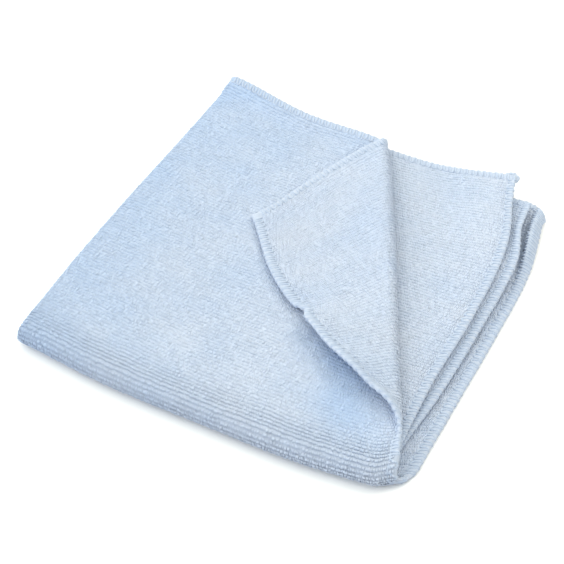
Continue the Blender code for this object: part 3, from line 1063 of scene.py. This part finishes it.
def fabric_material():
    """Pale blue terry, for the sheet and its pile."""
    material, tree, inputs = new_material("microfibre_terry", 0.95, 0.15, 0.20, 0.55)
    inputs["Sheen Tint"].default_value = (0.92, 0.94, 1.0, 1.0)
    flat = node(tree, "ShaderNodeAttribute", (-1600, 0), attribute_name="flat")
    colour = node(tree, "ShaderNodeVectorMath", (-200, 200), operation="SCALE")
    tree.links.new(dyed(tree, flat), colour.inputs[0])
    tree.links.new(shaded(tree, flat), colour.inputs["Scale"])
    tree.links.new(colour.outputs["Vector"], inputs["Base Color"])
    tree.links.new(fibres_normal(tree), inputs["Normal"])
    return material


def thread_material():
    """Matching thread, unevenly dyed along its twist."""
    material, tree, inputs = new_material("overlock_thread", 0.8, 0.25, 0.2)
    where = node(tree, "ShaderNodeTexCoord", (-900, 0))
    grain = node(tree, "ShaderNodeTexNoise", (-700, 0))
    grain.inputs["Scale"].default_value = TWIST_SCALE
    grain.inputs["Detail"].default_value = 2.0
    tint = node(tree, "ShaderNodeValToRGB", (-500, 0))
    tint.color_ramp.elements[0].position = 0.3
    tint.color_ramp.elements[0].color = THREAD_DEEP
    tint.color_ramp.elements[1].position = 0.7
    tint.color_ramp.elements[1].color = THREAD_PALE
    tree.links.new(where.outputs["Object"], grain.inputs["Vector"])
    tree.links.new(grain.outputs["Fac"], tint.inputs["Fac"])
    tree.links.new(tint.outputs["Color"], inputs["Base Color"])
    return material


def floor_material():
    """Plain pale studio floor."""
    material, _, inputs = new_material("studio_floor", 1.0, 0.0, 0.0)
    inputs["Base Color"].default_value = (0.96, 0.96, 0.96, 1.0)
    return material


# ---------------------------------------------------------------- the scene
def show(name, mesh, material):
    """A new object of this mesh and material."""
    mesh.materials.append(material)
    made = bpy.data.objects.new(name, mesh)
    bpy.context.scene.collection.objects.link(made)
    return made


def lay_floor():
    """A pale floor, just under the cloth."""
    reach = FLOOR_REACH * MM
    mesh = bpy.data.meshes.new("floor")
    corners = [(-reach, -reach, 0), (reach, -reach, 0), (reach, reach, 0), (-reach, reach, 0)]
    mesh.from_pydata(corners, [], [(0, 1, 2, 3)])
    floor = show("studio_floor", mesh, floor_material())
    floor.location.z = -FLOOR_BELOW * MM


def light_world():
    """Soft light from overhead and from the left, with less of it, and bluer, from the front."""
    world = bpy.data.worlds.new("studio")
    bpy.context.scene.world = world
    world.use_nodes = True
    tree = world.node_tree
    where = node(tree, "ShaderNodeTexCoord", (-1100, 0))
    parts = node(tree, "ShaderNodeSeparateXYZ", (-900, 0))
    tree.links.new(where.outputs["Generated"], parts.inputs["Vector"])
    total = None
    skies = (("Z", 1.0, OVERHEAD), ("X", -1.0, FROM_LEFT), ("Y", -1.0, FROM_FRONT))
    for k, (axis, full, colour) in enumerate(skies):
        level = node(tree, "ShaderNodeMapRange", (-700, -200 * k))
        level.inputs["From Max"].default_value = full
        tinted = node(tree, "ShaderNodeVectorMath", (-500, -200 * k), operation="SCALE")
        tinted.inputs[0].default_value = colour
        tree.links.new(parts.outputs[axis], level.inputs["Value"])
        tree.links.new(level.outputs["Result"], tinted.inputs["Scale"])
        if total:
            both = node(tree, "ShaderNodeVectorMath", (-300, -200 * k), operation="ADD")
            tree.links.new(total, both.inputs[0])
            tree.links.new(tinted.outputs["Vector"], both.inputs[1])
            tinted = both
        total = tinted.outputs["Vector"]
    tree.links.new(total, tree.nodes["Background"].inputs["Color"])


def light_key():
    """A round soft box behind the cloth on its right, turned to the middle of the cloth."""
    lamp = bpy.data.lights.new("soft_box", "AREA")
    lamp.shape = "DISK"
    lamp.size = KEY_SIZE * MM
    lamp.energy = KEY_WATTS
    lamp.color = KEY
    light = bpy.data.objects.new("soft_box", lamp)
    bpy.context.scene.collection.objects.link(light)
    light.location = Vector(KEY_AT) * MM
    light.rotation_mode = "QUATERNION"
    light.rotation_quaternion = (-light.location).to_track_quat("-Z", "Y")


def set_camera():
    """The camera, at the photo's angle."""
    azimuth, elevation = math.radians(CAMERA_AZIMUTH), math.radians(CAMERA_ELEVATION)
    level = math.cos(elevation)
    back = Vector((math.sin(azimuth) * level, -math.cos(azimuth) * level, math.sin(elevation)))
    right = Vector((math.cos(azimuth), math.sin(azimuth), 0.0))
    lens = bpy.data.cameras.new("camera")
    lens.lens = CAMERA_LENS
    lens.sensor_width = 36.0
    lens.clip_start = 0.01
    camera = bpy.data.objects.new("camera", lens)
    bpy.context.scene.collection.objects.link(camera)
    columns = (right, back.cross(right), back, [value * MM for value in CAMERA_AT])
    rows = [[column[k] for column in columns] for k in range(3)]
    camera.matrix_world = Matrix(rows + [[0.0, 0.0, 0.0, 1.0]])
    bpy.context.scene.camera = camera


fabric = fabric_material()
cloth = show("cloth_sheet", sheet_mesh(), fabric)
thread = show("overlock_thread", threads_mesh(), thread_material())
pile = [show(f"pile_{k}", mesh, fabric) for k, mesh in enumerate(pile_meshes(), 1)]
for piece in (cloth, thread, *pile):
    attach(piece, "root")
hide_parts("cloth")

lay_floor()
light_world()
light_key()
set_camera()
bpy.context.scene.view_settings.view_transform = "Standard"
